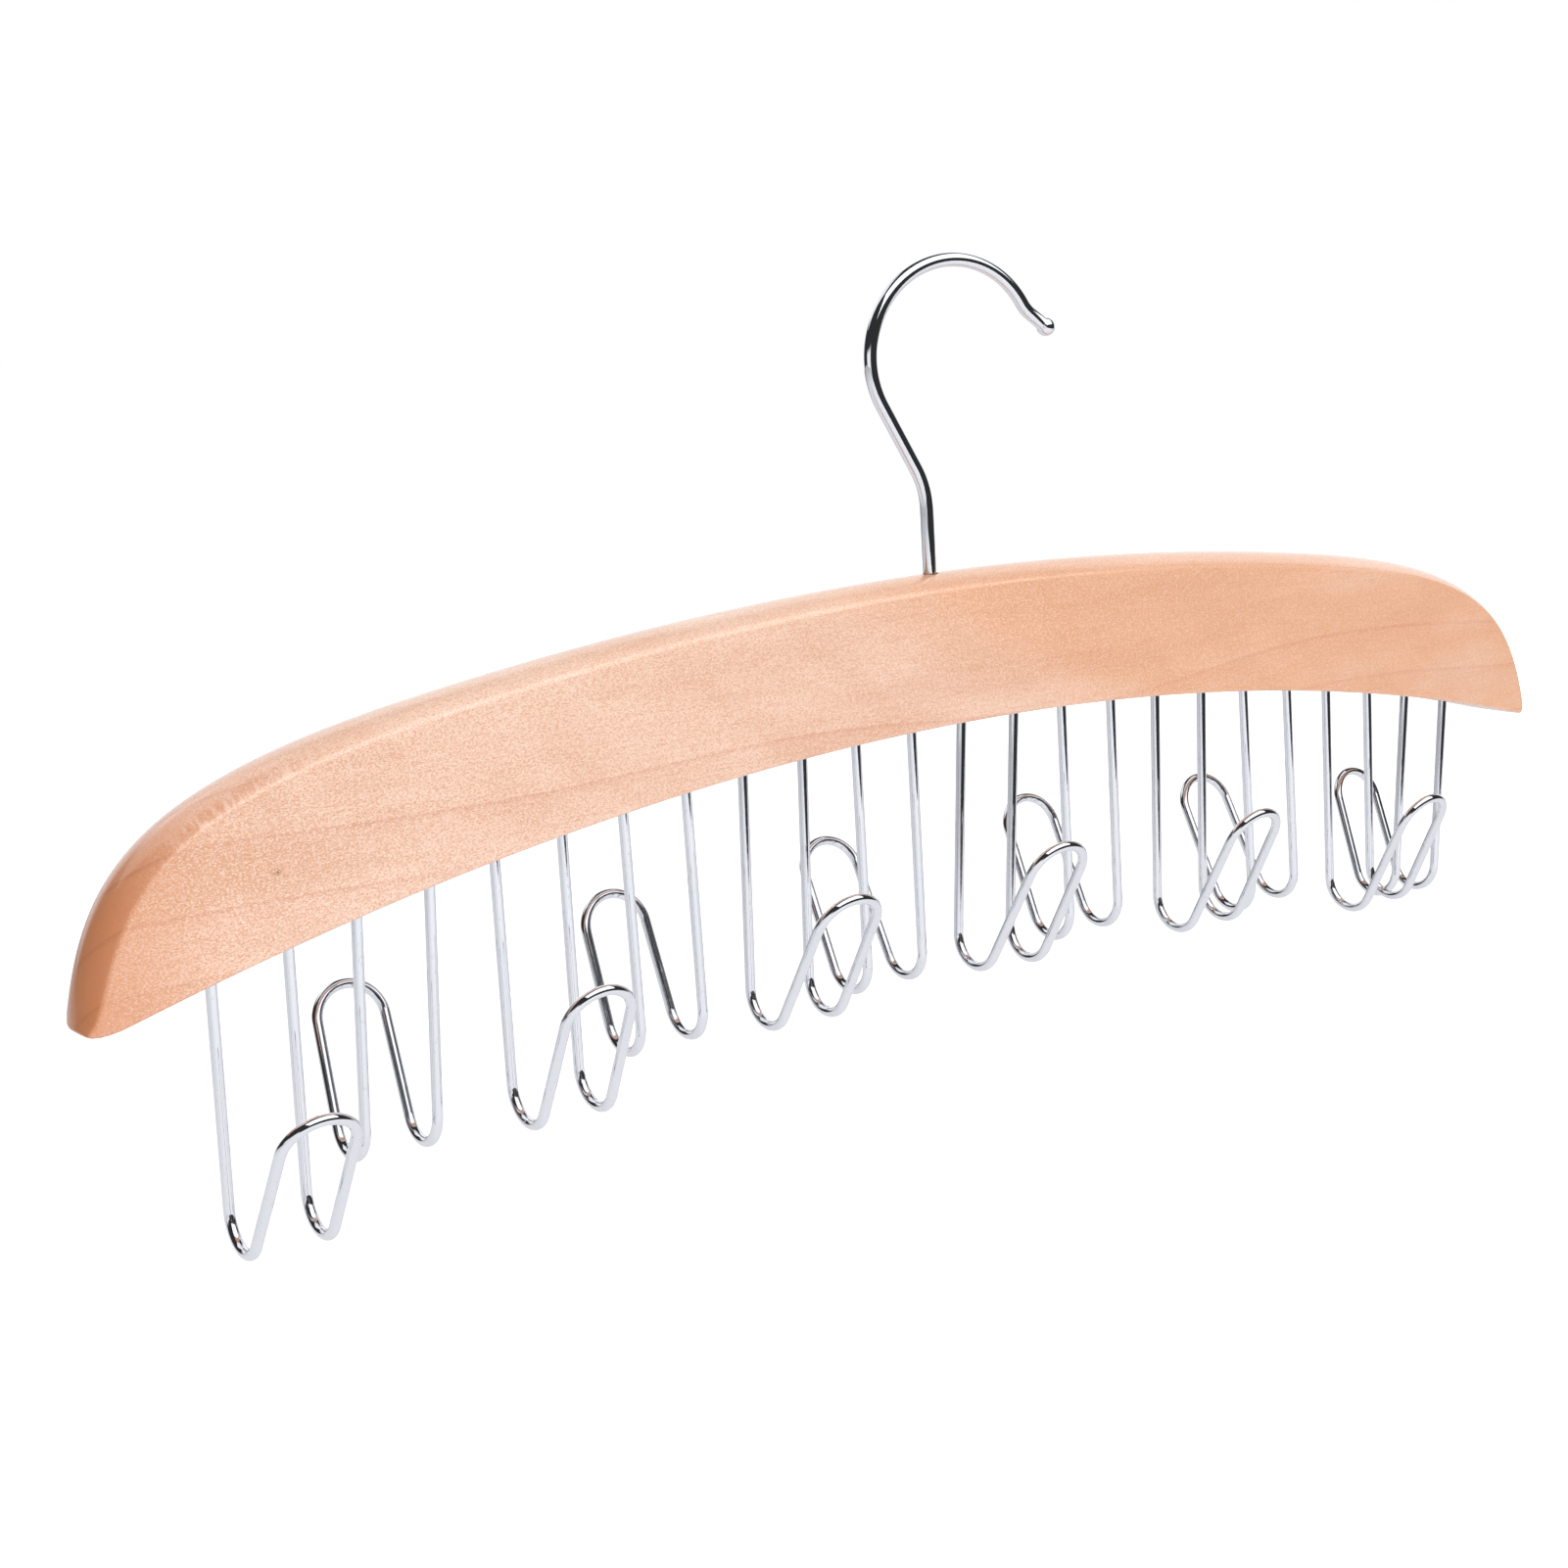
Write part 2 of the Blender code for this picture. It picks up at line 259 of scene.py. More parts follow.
        # Soft bands along the plank, and a faint curl that crosses them
        bands = wood.grains((self.band_length, self.band_height, self.band_height), 3)
        curl = wood.grains(self.curl, 1, tilt=self.curl_tilt)
        coats.append((wood.add("MapRange", bands, *self.dark_bands), self.dark))
        coats.append((wood.add("MapRange", bands, *self.pale_bands), self.pale))
        coats.append((wood.add("MapRange", curl, *self.curl_marks), self.dark))

        # Growth rings, cut nearly flat: long thin lines that rise and dip, faint in the upper half
        beat = wood.add("Math", along, math.tau / self.ring_period, -math.tau * self.ring_peak / self.ring_period,
                        operation="MULTIPLY_ADD")
        dip = wood.add("Math", wood.add("Math", beat, operation="COSINE"), 1.0, operation="SUBTRACT")
        rise = wood.add("MapRange", along, *self.ring_calm, self.ring_calm_share * self.ring_rise, self.ring_rise)
        wave = wood.add("Math", dip, rise, operation="MULTIPLY")
        slope = wood.add("Math", across, self.ring_slope, -self.ring_level, operation="MULTIPLY_ADD")
        level = wood.add("Math", wood.add("Math", slope, wave, operation="SUBTRACT"), height, operation="ADD")
        count = wood.add("Math", level, self.ring_spacing, operation="DIVIDE")
        phase = wood.add("Math", wood.add("Math", wander, self.ring_wander, count, operation="MULTIPLY_ADD"),
                         operation="FRACT")
        line = wood.add("Math", wood.add("MapRange", phase, *self.ring_front),
                        wood.add("MapRange", phase, *self.ring_back), operation="MULTIPLY")
        breaks = wood.add("MapRange", wood.grains((self.band_length, self.band_height, self.band_height), 1),
                          *self.ring_breaks)
        fade = wood.add("Math", breaks, wood.add("MapRange", height, *self.ring_top), operation="MULTIPLY")
        ring = wood.add("Math", wood.add("Math", line, self.ring_share, operation="MULTIPLY"),
                        wood.add("MapRange", phase, *self.ring_haze), operation="MAXIMUM")
        coats.append((wood.add("Math", ring, fade, operation="MULTIPLY"), self.ring))

        # Fibres, pores and the close fleck that maple shows everywhere, strongest towards the left end
        fibre = wood.grains(self.fibre)
        fleck = wood.grains(self.fleck, 1)
        strong = wood.add("MapRange", along, *self.fleck_calm)
        coats.append((wood.add("MapRange", fibre, *self.fibre_marks), self.dark))
        for span, colour in ((self.dark_fleck, self.dark), (self.bright_fleck, self.bright)):
            spots = wood.add("MapRange", fleck, *span)
            coats.append((wood.add("Math", spots, strong, operation="MULTIPLY"), colour))
        coats.append((wood.add("MapRange", wood.grains(self.pore, 1), *self.pore_marks), self.ring))

        # Where the shoulders cut across the grain, the cut ends of the fibres drink more and turn darker
        facing = wood.coords.node.outputs["Normal"]
        across_grain = wood.add("VectorMath", facing, self.grain_run, operation="DOT_PRODUCT")
        cut = wood.add("Math", across_grain, operation="ABSOLUTE")
        ends = wood.add("MapRange", cut, *self.end_cut)
        end_lines = wood.add("Math", ends, line, operation="MULTIPLY")
        coats.append((wood.add("Math", ends, self.end_share, operation="MULTIPLY"), self.end_grain_and_shade))
        coats.append((wood.add("Math", end_lines, self.end_line_share, operation="MULTIPLY"), self.knot))
        # Towards the left tip the whole surface darkens by position: partly end grain, partly painted shade
        coats.append((wood.add("MapRange", along, *self.tip_grain_and_shade), self.end_grain_and_shade))

        # Chatter of the cutter along the front crease of the left shoulder
        chatter = wood.grains(self.chatter, 1)
        reach = wood.add("Math", wood.add("MapRange", along, *self.chatter_start),
                         wood.add("MapRange", along, *self.chatter_end), operation="MULTIPLY")
        near_crease = wood.add("Math", wood.add("MapRange", across, *self.chatter_depth), reach, operation="MULTIPLY")
        rough_cut = wood.add("Math", near_crease, wood.add("MapRange", cut, *self.chatter_cut), operation="MULTIPLY")
        for span, colour in ((self.dark_chatter, self.end_grain_and_shade), (self.pale_chatter, self.pale)):
            strokes = wood.add("MapRange", chatter, *span)
            coats.append((wood.add("Math", strokes, rough_cut, operation="MULTIPLY"), colour))

        # One pin knot near the left end
        offset = wood.add("VectorMath", wood.coords, self.knot_place, operation="SUBTRACT")
        flat = wood.add("VectorMath", offset, self.knot_form, operation="MULTIPLY")
        spot = wood.add("MapRange", wood.add("VectorMath", flat, operation="LENGTH"), *self.knot_reach)
        spots = wood.add("MapRange", fleck, *self.knot_spots)
        coats.append((wood.add("Math", spot, spots, operation="MULTIPLY"), self.knot))

        tone: Socket | Sequence[float] = linear(self.tan)
        for share, colour in coats:
            tone = wood.add("Mix", share, tone, linear(colour), data_type="RGBA")
        wood.feed("Base Color", tone)
        wood.feed("Roughness", wood.add("MapRange", fibre, *self.gloss))
        wood.set(IOR=1.5, Coat_Weight=1.0, Coat_Roughness=0.15, Coat_IOR=1.5)
        relief = wood.add("Math", fleck, fibre, operation="ADD")
        wood.feed("Normal", wood.add("Bump", 1.0, self.relief, None, relief))
        return wood.material


@dataclass(frozen=True)
class BrightChrome:
    """Decorative chromium over nickel on drawn wire: a bright, faintly blue mirror with a few dull specks.

    The specks and the lines that the drawing die leaves are under 0.1 mm wide, and are drawn coarser to show.
    """

    plate: str = "E0E2E8"
    dull: str = "C9CBD2"
    specks: Point = (0.7 * MM, 0.7 * MM, 1.05 * MM)
    worn: Span = (0.62, 0.76, 0, 0.6)
    gloss: Span = (0.40, 0.75, 0.035, 0.10)
    draw_lines: Point = (1.4 * MM, 1.4 * MM, 60 * MM)
    relief: float = 0.001 * MM

    def build(self) -> bpy.types.Material:
        """Builds the plating.

        Returns:
            The material.
        """
        chrome = Finish(Slot.CHROME.value)
        specks = chrome.grains(self.specks)
        worn = chrome.add("MapRange", specks, *self.worn)
        chrome.feed("Base Color", chrome.add("Mix", worn, linear(self.plate), linear(self.dull), data_type="RGBA"))
        chrome.feed("Roughness", chrome.add("MapRange", specks, *self.gloss))
        chrome.set(Metallic=1.0)
        chrome.feed("Normal", chrome.add("Bump", 1.0, self.relief, None, chrome.grains(self.draw_lines, 1)))
        return chrome.material


@dataclass(frozen=True)
class ZincPlate:
    """Zinc plate on turned steel, clear passivated: a dull, slightly mottled grey with a cool cast."""

    plate: str = "B9BBB8"
    dull: str = "94979A"
    mottle: Point = (1.2 * MM, 1.2 * MM, 1.2 * MM)
    cloud: Span = (0.4, 0.65)
    gloss: Span = (0.3, 0.7, 0.28, 0.42)
    turning: Point = (1.2 * MM, 1.2 * MM, 0.25 * MM)
    relief: float = 0.01 * MM

    def build(self) -> bpy.types.Material:
        """Builds the plating.

        Returns:
            The material.
        """
        zinc = Finish(Slot.ZINC.value)
        mottle = zinc.grains(self.mottle, 3)
        cloud = zinc.add("MapRange", mottle, *self.cloud)
        zinc.feed("Base Color", zinc.add("Mix", cloud, linear(self.plate), linear(self.dull), data_type="RGBA"))
        zinc.feed("Roughness", zinc.add("MapRange", mottle, *self.gloss))
        zinc.set(Metallic=1.0)
        zinc.feed("Normal", zinc.add("Bump", 1.0, self.relief, None, zinc.grains(self.turning, 1)))
        return zinc.material


class Bench:
    """Modelling by operators, as at the workbench."""

    @staticmethod
    def clear() -> None:
        """Leaves edit mode and deselects everything."""
        if bpy.context.object and bpy.context.object.mode != "OBJECT":
            bpy.ops.object.mode_set(mode="OBJECT")
        bpy.ops.object.select_all(action="DESELECT")

    @staticmethod
    def named(name: str) -> bpy.types.Object:
        """Names the object just added, and its mesh."""
        obj = bpy.context.object
        obj.name = name
        obj.data.name = name
        return obj

    @staticmethod
    def choose(obj: bpy.types.Object) -> None:
        """Makes one object the selected and active one."""
        Bench.clear()
        obj.select_set(True)
        bpy.context.view_layer.objects.active = obj

    @staticmethod
    def pick_faces(obj: bpy.types.Object, test: Callable[[bmesh.types.BMFace], bool]) -> None:
        """Selects the faces that pass a test, in edit mode, and nothing else."""
        bpy.ops.mesh.select_mode(type="FACE")
        bpy.ops.mesh.select_all(action="DESELECT")
        mesh = bmesh.from_edit_mesh(obj.data)
        for face in mesh.faces:
            face.select_set(test(face))
        bmesh.update_edit_mesh(obj.data)

    @staticmethod
    def settle(obj: bpy.types.Object) -> None:
        """Applies an object's place, turn and scale to its mesh, with its faces pointing out."""
        Bench.choose(obj)
        bpy.ops.object.transform_apply(location=True, rotation=True, scale=True)
        bpy.ops.object.mode_set(mode="EDIT")
        bpy.ops.mesh.select_all(action="SELECT")
        bpy.ops.mesh.remove_doubles(threshold=MERGE)
        bpy.ops.mesh.normals_make_consistent(inside=False)
        bpy.ops.object.mode_set(mode="OBJECT")

    @staticmethod
    def modify(obj: bpy.types.Object, kind: str, **settings: object) -> None:
        """Adds a modifier and applies it."""
        Bench.choose(obj)
        modifier = obj.modifiers.new(kind.lower(), kind)
        for name, value in settings.items():
            setattr(modifier, name, value)
        bpy.ops.object.modifier_apply(modifier=modifier.name)

    @staticmethod
    def bore(obj: bpy.types.Object, cutters: list[bpy.types.Object], operation: str = "DIFFERENCE") -> None:
        """Cuts a piece with other shapes, which are then thrown away.

        Args:
            obj: the piece.
            cutters: the shapes that cut it.
            operation: the Boolean modifier's operation.
        """
        Bench.choose(cutters[0])
        for cutter in cutters:
            cutter.select_set(True)
        if len(cutters) > 1:
            bpy.ops.object.join()
        cutter = cutters[0]
        Bench.modify(obj, "BOOLEAN", operation=operation, object=cutter, solver="EXACT", use_self=True)
        bpy.data.objects.remove(cutter)

    @staticmethod
    def shade(obj: bpy.types.Object, degrees: float) -> None:
        """Shades an object smooth up to an angle."""
        Bench.choose(obj)
        bpy.ops.object.shade_smooth_by_angle(angle=math.radians(degrees), keep_sharp_edges=False)

    @staticmethod
    def dress(obj: bpy.types.Object, material: bpy.types.Material, slot: Slot, body: Body, node: str) -> None:
        """Gives a finished piece its material, its body and the solid it stands for."""
        obj.data.materials.clear()
        obj.data.materials.append(material)
        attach(obj, body.value)
        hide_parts(node)
        LOG.info("%s: %d faces, rides on %s", obj.name, len(obj.data.polygons), body.value)


class BentWire:
    """A round wire bent as on a former: a disc drawn out straight and swept round bends, by operators."""

    def __init__(self, name: str, diameter: float, sides: int, start: Point, along: Point) -> None:
        """Cuts the wire's first end.

        Args:
            name: the piece's name.
            diameter: the wire's diameter in metres.
            sides: the faces round it.
            start: the middle of its first end.
            along: the direction it starts in, straight up or down.
        """
        Bench.clear()
        self.tip = Vector(start)
        self.along = Vector(along)
        bpy.ops.mesh.primitive_circle_add(vertices=sides, radius=diameter / 2, fill_type="NGON", location=self.tip)
        self.obj = Bench.named(name)
        bpy.ops.object.mode_set(mode="EDIT")
        bpy.ops.mesh.select_mode(type="FACE")
        bpy.ops.mesh.select_all(action="SELECT")

    def straight(self, length: float) -> None:
        """Draws the wire out straight."""
        step = self.along * length
        bpy.ops.mesh.extrude_region_move(TRANSFORM_OT_translate={"value": step})
        self.tip += step

    def bend(self, hub: Point, axis: Point, angle: float, steps: int) -> None:
        """Bends the wire round a hub.

        Args:
            hub: a point on the bend's axis.
            axis: the axis, with the turn by the right-hand rule.
            angle: how far it turns, in radians.
            steps: the rings in the bend.
        """
        bpy.ops.mesh.spin(steps=steps, angle=-angle, center=hub, axis=axis)
        turn = Matrix.Rotation(angle, 3, Vector(axis))
        self.tip = Vector(hub) + turn @ (self.tip - Vector(hub))
        self.along = turn @ self.along

    def move(self, step: Vector) -> None:
        """Draws the wire out by a step that may lean a little from its direction."""
        bpy.ops.mesh.extrude_region_move(TRANSFORM_OT_translate={"value": step})
        self.tip += step

    def resize(self, share: float) -> None:
        """Widens or narrows the wire's end."""
        bpy.ops.transform.resize(value=(share, share, share), center_override=self.tip)

    def drop_cap(self) -> None:
        """Takes the end's face away."""
        bpy.ops.mesh.delete(type="ONLY_FACE")

    def close_pole(self) -> None:
        """Draws the end's rim together in one point."""
        bpy.ops.mesh.merge(type="CENTER")

    def finish(self) -> bpy.types.Object:
        """Ends the wire and returns its object."""
        Bench.settle(self.obj)
        return self.obj


def sag(radius: float, x: float | np.ndarray) -> float | np.ndarray:
    """How far an arc lies below its middle, at a distance to the side of it."""
    return radius - np.sqrt(radius ** 2 - np.square(x))


def eased(start: np.ndarray, knee: np.ndarray, end: np.ndarray, steps: int) -> np.ndarray:
    """Rounds a corner with one smooth curve.

    Args:
        start: the curve's first end.
        knee: the corner that it rounds.
        end: its second end.
        steps: how many pieces it has.

    Returns:
        The points between its ends.
    """
    t = np.linspace(0, 1, steps + 1)[1:-1, None]
    return (1 - t) ** 2 * start + 2 * t * (1 - t) * knee + t ** 2 * end


@dataclass(frozen=True)
class BarShape:
    """The bar's main lines, which its own mesh and the belt hooks below it both follow."""

    length: float = 441 * MM
    depth: float = 33.4 * MM
    thickness: float = 18 * MM
    crown: float = 3.5 * MM
    top_radius: float = 950 * MM
    underside_radius: float = 818 * MM
    shoulder: float = 80.5 * MM
    end_lean: float = math.radians(11)
    shoulder_share: float = 0.78
    end_share: float = 0.58
    face_top: float = -77.1 * MM
    middle: tuple[float, float, float] = (-9.3557 * MM, 1.6497 * MM, 0)

    def underside(self, x: float | np.ndarray) -> float | np.ndarray:
        """Height of the bar's underside at a distance along the bar from its middle."""
        return self.face_top - self.depth - sag(self.underside_radius, x)


@dataclass
class HangerBar:
    """The arched bar: two flat faces, a crowned top that also rounds the ends, and its bores.

    The right lower corner is eased evenly. The left one is drawn out, and the crown's front crease swings
    outwards there, so that it ends in a point at the front.
    """

    shape: BarShape
    material: bpy.types.Material
    edge_round: float = 0.65 * MM
    edge_steps: int = 4
    edge_angle: float = 30
    right_reach: float = 2.5 * MM
    right_points: int = 3
    right_steps: int = 8
    left_reach: float = 10 * MM
    left_points: int = 2
    left_steps: int = 5
    left_knee: float = 0.3
    left_lift: float = 2.4 * MM
    left_inset: float = 0.15 * MM
    left_lean: float = 0.05
    crease_swing: float = 0.85
    crease_fade: float = 4.5 * MM
    top_steps: int = 72
    shoulder_steps: int = 56
    underside_steps: int = 110
    rows: int = 16
    smooth_angle: float = 28
    flat_weight: int = 80

    def shoulder_line(self) -> np.ndarray:
        """The right shoulder of the flat face, one smooth curve down to the end's lower corner.

        Returns:
            Points in the face's plane.
        """
        shape = self.shape
        start_x = shape.length / 2 - shape.shoulder
        slope = math.asin(start_x / shape.top_radius)
        start = np.array([start_x, shape.face_top - sag(shape.top_radius, start_x)])
        end = np.array([shape.length / 2, shape.underside(shape.length / 2)])
        out = start + shape.shoulder_share * shape.shoulder * np.array([math.cos(slope), -math.sin(slope)])
        lean = np.array([-math.sin(shape.end_lean), math.cos(shape.end_lean)])
        back = end + shape.end_share * (start[1] - end[1]) * lean
        t = np.linspace(0, 1, self.shoulder_steps + 1)[:, None]
        return (1 - t) ** 3 * start + 3 * t * (1 - t) ** 2 * out + 3 * t ** 2 * (1 - t) * back + t ** 3 * end

    def upper_line(self) -> tuple[np.ndarray, np.ndarray]:
        """The flat face's upper edge, from its left lower corner over the top to its right one.

        Returns:
            Its points and their outward directions in the face's plane.
        """
        right = self.shoulder_line()
        across = np.linspace(-right[0][0], right[0][0], self.top_steps + 1)[1:-1]
        top = np.stack([across, self.shape.face_top - sag(self.shape.top_radius, across)], axis=1)
        edge = np.vstack([right[::-1] * (-1, 1), top, right])
        along = np.gradient(edge, axis=0)
        outward = np.stack([-along[:, 1], along[:, 0]], axis=1)
        return edge, outward / np.linalg.norm(outward, axis=1)[:, None]

    def outline(self, y: float) -> np.ndarray:
        """The bar's outline at one depth across its thickness, with its lower corners eased.

        Args:
            y: the distance from the bar's middle plane.

        Returns:
            The outline's points in that plane, in order.
        """
        shape = self.shape
        edge, outward = self.upper_line()
        radius = ((shape.thickness / 2) ** 2 + shape.crown ** 2) / (2 * shape.crown)
        swing = self.crease_swing * np.exp(-np.linalg.norm(edge - edge[0], axis=1) / self.crease_fade)
        low = radius - math.sqrt(radius ** 2 - y ** 2)
        upper = edge + (shape.crown - low * (1 - swing * (y < 0)))[:, None] * outward
        upper[[0, -1], 1] = shape.underside(upper[[0, -1], 0])
        below = np.linspace(upper[-1, 0] - self.right_reach, upper[0, 0] + self.left_reach, self.underside_steps + 1)
        under = np.stack([below, shape.underside(below)], axis=1)
        right = eased(upper[-1 - self.right_points], upper[-1], under[0], self.right_steps)
        tip = upper[0] + (self.left_inset + self.left_lean * max(y, 0), self.left_lift)
        knee = upper[0] + self.left_knee * (under[-1] - upper[0])
        left = eased(under[-1], knee, tip, self.left_steps)
        return np.vstack([tip, upper[self.left_points:-self.right_points], right, under, left])

    def blank(self) -> bpy.types.Object:
        """Shapes the bar from a disc: its rim is laid on the outline, and drawn back row by row.

        Returns:
            The bar, without its bores.
        """
        depths = np.linspace(-self.shape.thickness / 2, self.shape.thickness / 2, self.rows + 1)
        Bench.clear()
        bpy.ops.mesh.primitive_circle_add(vertices=len(self.outline(0)), radius=self.shape.depth, fill_type="NGON")
        obj = Bench.named("maple_bar")
        bpy.ops.object.mode_set(mode="EDIT")
        bpy.ops.mesh.select_mode(type="FACE")
        bpy.ops.mesh.select_all(action="SELECT")
        for row, y in enumerate(depths):
            if row:
                bpy.ops.mesh.extrude_region_move(TRANSFORM_OT_translate={"value": (0, y - depths[row - 1], 0)})
            mesh = bmesh.from_edit_mesh(obj.data)
            face = next(f for f in mesh.faces if f.select)
            for loop, (x, z) in zip(face.loops, self.outline(y)):
                loop.vert.co = (x, y, z)
            bmesh.update_edit_mesh(obj.data)
        bpy.ops.object.mode_set(mode="OBJECT")
        obj.location = self.shape.middle
        Bench.settle(obj)
        return obj

    def build(self, cutters: list[bpy.types.Object]) -> None:
        """Rounds the blank's edges, bores it and dresses it.

        Args:
            cutters: the shapes of its bores and holes.
        """
        bar = self.blank()
        Bench.modify(bar, "BEVEL", width=self.edge_round, segments=self.edge_steps, limit_method="ANGLE",
                     angle_limit=math.radians(self.edge_angle), use_clamp_overlap=False)
        # A Boolean breaks the two large flat faces, so they are split before it
        bpy.ops.object.mode_set(mode="EDIT")
        Bench.pick_faces(bar, lambda face: len(face.verts) > 4)
        bpy.ops.mesh.quads_convert_to_tris(ngon_method="BEAUTY")
        bpy.ops.object.mode_set(mode="OBJECT")
        Bench.bore(bar, cutters)
        Bench.shade(bar, self.smooth_angle)
        Bench.modify(bar, "WEIGHTED_NORMAL", keep_sharp=True, weight=self.flat_weight)
        Bench.dress(bar, self.material, Slot.WOOD, Body.BAR, "hanger_bar")


@dataclass
class BeltHooks:
    """The twelve belt hooks: each one wire, two legs in the bar, two bends and a tongue with a round arch."""

    shape: BarShape
    material: bpy.types.Material
    wire: float = 2.5 * MM
    sides: int = 28
    pitch: float = 33.64 * MM
    spacing: float = 17.4 * MM
    drop: float = 62.9 * MM
    drop_radius: float = 1040 * MM
    grip: float = 15 * MM
    bend_radius: float = 7.5 * MM
    rise: float = 33.6 * MM
    arch_width: float = 16.5 * MM
    bend_steps: int = 26
    arch_steps: int = 18
    hole_play: float = 0.12 * MM
    hole_run: float = 6 * MM
    smooth_angle: float = 40
    seats: tuple[float, ...] = (0.8, 1, 0.86, 1, 1, 0.81, 0.94, 0.89, 0.91, 0.87, 0.9, 0.97)
    tilts: tuple[float, ...] = (32.5, 23, 27, 20, 31, 26, 29, 23.5, 29, 25.5, 28, 22.5)
    leans: tuple[float, ...] = (1.8, 3.5, 0.5, -0.5, 1.9, 0, 4.3, -0.4, 1.1, -1.9, -0.7, 4.6)

    def along(self, index: int) -> float:
        """How far a belt hook sits to the right of the bar's middle; the hooks count from the left, from 0."""
        return (index - (len(self.tilts) - 1) / 2) * self.pitch

    def seat(self, index: int) -> Matrix:
        """Where one belt hook sits: midway between its legs at the bar's underside.

        Args:
            index: the hook's number from the left, from 0.

        Returns:
            Its place and turn, with every second one turned to the back.
        """
        x = self.along(index)
        place = Vector(self.shape.middle) + Vector((x, 0, self.shape.underside(x)))
        to_back = index % 2
        lean = math.radians(-self.leans[index] if to_back else self.leans[index])
        turn = Matrix.Rotation(math.pi * to_back, 4, "Z") @ Matrix.Rotation(lean, 4, "Y")
        return Matrix.Translation(place) @ turn

    def holes(self) -> list[bpy.types.Object]:
        """Makes the cutters for the blind holes that hold the legs."""
        cutters = []
        for index in range(len(self.tilts)):
            for side in (-1, 1):
                at = (side * self.spacing / 2, 0, (self.grip - self.hole_run) / 2)
                Bench.clear()
                bpy.ops.mesh.primitive_cylinder_add(vertices=self.sides, radius=self.wire / 2 + self.hole_play,
                                                    depth=self.grip + self.hole_run, location=at)
                cutter = Bench.named(f"leg_hole_{index}_{side}")
                cutter.matrix_world = self.seat(index) @ cutter.matrix_world
                cutters.append(cutter)
        return cutters

    def bend(self, index: int) -> bpy.types.Object:
        """Bends one belt hook: half of it on the former, and the other half by its mirror.

        Args:
            index: the hook's number from the left, from 0.

        Returns:
            The wire, in place.
        """
        x = self.along(index)
        tilt = math.radians(self.tilts[index])
        seat = self.seats[index] * self.grip
        low = sag(self.shape.underside_radius, x) - sag(self.drop_radius, x) - self.drop - (self.grip - seat)
        wire = BentWire(f"belt_wire_{index + 1:02d}", self.wire, self.sides, (-self.spacing / 2, 0, seat), (0, 0, -1))
        wire.straight(seat - low - self.bend_radius)
        wire.bend((0, -self.bend_radius, low + self.bend_radius), (-1, 0, 0), math.pi - tilt, self.bend_steps)
        slope = Vector((0, -math.sin(tilt), math.cos(tilt)))
        length = (low + self.rise - wire.tip.z) / slope.z - self.arch_width / 2
        hub = Vector((0, wire.tip.y, wire.tip.z)) + slope * length
        wire.move(hub + Vector((-self.arch_width / 2, 0, 0)) - wire.tip)
        wire.bend(hub, slope.cross((1, 0, 0)), math.pi / 2, self.arch_steps)
        wire.drop_cap()
        obj = wire.finish()
        Bench.modify(obj, "MIRROR", use_axis=(True, False, False), merge_threshold=MERGE)
        obj.matrix_world = self.seat(index)
        Bench.settle(obj)
        return obj

    def build(self) -> None:
        """Bends and dresses all of them."""
        for index in range(len(self.tilts)):
            obj = self.bend(index)
            Bench.shade(obj, self.smooth_angle)
            Bench.dress(obj, self.material, Slot.CHROME, Body.BAR, f"belt_hook_{index + 1:02d}")


